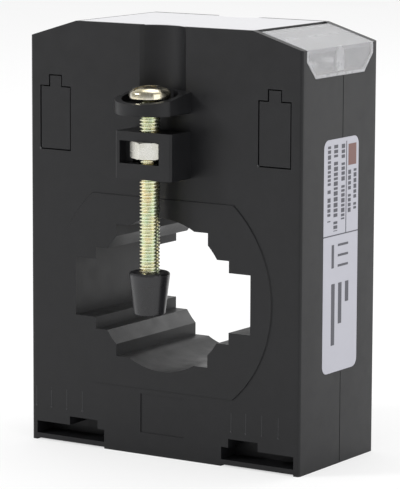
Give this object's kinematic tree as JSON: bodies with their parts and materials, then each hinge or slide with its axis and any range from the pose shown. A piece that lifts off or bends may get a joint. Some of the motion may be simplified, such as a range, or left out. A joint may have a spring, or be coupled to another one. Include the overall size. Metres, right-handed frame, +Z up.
{
  "type": "window current transformer",
  "caption": "Moulded-case window current transformer with stepped busbar opening, busbar clamp screws, covered screw terminals and foot slots.",
  "frame": {"origin": "centre of the base, at the middle of the width and depth", "axes": "+X to the right seen from the front, -Y out of the front face, +Z up; the busbar passes along Y"},
  "size_m": [0.094, 0.0748, 0.127],
  "materials": {
    "case_black": "fine-grained matt black polycarbonate",
    "case_black_rear": "fine-grained matt black polycarbonate",
    "core_steel": "wound grain-oriented strip",
    "copper_winding": "enamelled copper",
    "insulation": "pressboard",
    "lead_copper": "enamelled copper",
    "terminal_brass": "nickel-plated brass",
    "terminal_steel": "zinc plated",
    "screw_zinc": "yellow zinc plated",
    "nut_zinc": "zinc plated",
    "cap_black": "smooth satin black",
    "cover_clear": "clear polycarbonate",
    "label_white": "satin film",
    "label_grey": "satin film"
  },
  "bodies": {
    "case": {"front_shell": "case_black", "rear_shell": "case_black_rear", "core": "core_steel", "winding": "copper_winding", "insulation_ring": "insulation", "lead_left": "lead_copper", "lead_right": "lead_copper", "terminal_plate_left": "terminal_brass", "terminal_plate_right": "terminal_brass", "clamp_nut_front": "nut_zinc", "clamp_nut_rear": "nut_zinc", "rating_label": "label_white", "side_label": "label_grey"},
    "front_cap": {"clamp_cap_front": "cap_black"},
    "front_screw": {"clamp_screw_front": "screw_zinc"},
    "rear_cap": {"clamp_cap_rear": "cap_black"},
    "rear_screw": {"clamp_screw_rear": "screw_zinc"},
    "cover_left": {"terminal_cover_left": "cover_clear"},
    "cover_right": {"terminal_cover_right": "cover_clear"},
    "clamp_lf": {"wire_clamp_left_front": "terminal_steel"},
    "clamp_lr": {"wire_clamp_left_rear": "terminal_steel"},
    "clamp_rf": {"wire_clamp_right_front": "terminal_steel"},
    "clamp_rr": {"wire_clamp_right_rear": "terminal_steel"},
    "screw_lf": {"terminal_screw_left_front": "terminal_steel"},
    "screw_lr": {"terminal_screw_left_rear": "terminal_steel"},
    "screw_rf": {"terminal_screw_right_front": "terminal_steel"},
    "screw_rr": {"terminal_screw_right_rear": "terminal_steel"}
  },
  "joints": [
    {"name": "front_cap_slide", "type": "slide", "parent": "case", "child": "front_cap", "axis": [0, 0, 1], "range_m": [0, 0.024]},
    {"name": "front_screw_turn", "type": "hinge", "parent": "front_cap", "child": "front_screw", "pos_m": [0, -0.02775, 0.0486], "axis": [0, 0, 1], "range_deg": [0, 8641]},
    {"name": "rear_cap_slide", "type": "slide", "parent": "case", "child": "rear_cap", "axis": [0, 0, 1], "range_m": [-0.012, 0.012]},
    {"name": "rear_screw_turn", "type": "hinge", "parent": "rear_cap", "child": "rear_screw", "pos_m": [0, 0.02775, 0.0606], "axis": [0, 0, 1], "range_deg": [-4321, 4321]},
    {"name": "wire_clamp_slide_left_front", "type": "slide", "parent": "case", "child": "clamp_lf", "axis": [0, 0, 1], "range_m": [0, 0.0021]},
    {"name": "terminal_screw_turn_left_front", "type": "hinge", "parent": "clamp_lf", "child": "screw_lf", "pos_m": [-0.0386, -0.0066, 0.1157], "axis": [0, 0, 1], "range_deg": [0, 1081]},
    {"name": "wire_clamp_slide_left_rear", "type": "slide", "parent": "case", "child": "clamp_lr", "axis": [0, 0, 1], "range_m": [0, 0.0021]},
    {"name": "terminal_screw_turn_left_rear", "type": "hinge", "parent": "clamp_lr", "child": "screw_lr", "pos_m": [-0.0386, 0.0066, 0.1157], "axis": [0, 0, 1], "range_deg": [0, 1081]},
    {"name": "wire_clamp_slide_right_front", "type": "slide", "parent": "case", "child": "clamp_rf", "axis": [0, 0, 1], "range_m": [0, 0.0021]},
    {"name": "terminal_screw_turn_right_front", "type": "hinge", "parent": "clamp_rf", "child": "screw_rf", "pos_m": [0.0386, -0.0066, 0.1157], "axis": [0, 0, 1], "range_deg": [0, 1081]},
    {"name": "wire_clamp_slide_right_rear", "type": "slide", "parent": "case", "child": "clamp_rr", "axis": [0, 0, 1], "range_m": [0, 0.0021]},
    {"name": "terminal_screw_turn_right_rear", "type": "hinge", "parent": "clamp_rr", "child": "screw_rr", "pos_m": [0.0386, 0.0066, 0.1157], "axis": [0, 0, 1], "range_deg": [0, 1081]},
    {"name": "cover_hinge_left", "type": "hinge", "parent": "case", "child": "cover_left", "pos_m": [-0.0319, 0, 0.12532], "axis": [0, 1, 0], "range_deg": [0, 100]},
    {"name": "cover_hinge_right", "type": "hinge", "parent": "case", "child": "cover_right", "pos_m": [0.0319, 0, 0.12532], "axis": [0, -1, 0], "range_deg": [0, 100]}
  ],
  "couplings": [
    {"joint": "front_screw_turn", "follows": "front_cap_slide", "rad_per_m": 6283.2},
    {"joint": "rear_screw_turn", "follows": "rear_cap_slide", "rad_per_m": 6283.2},
    {"joint": "terminal_screw_turn_left_front", "follows": "wire_clamp_slide_left_front", "rad_per_m": 8976},
    {"joint": "terminal_screw_turn_left_rear", "follows": "wire_clamp_slide_left_rear", "rad_per_m": 8976},
    {"joint": "terminal_screw_turn_right_front", "follows": "wire_clamp_slide_right_front", "rad_per_m": 8976},
    {"joint": "terminal_screw_turn_right_rear", "follows": "wire_clamp_slide_right_rear", "rad_per_m": 8976}
  ]
}
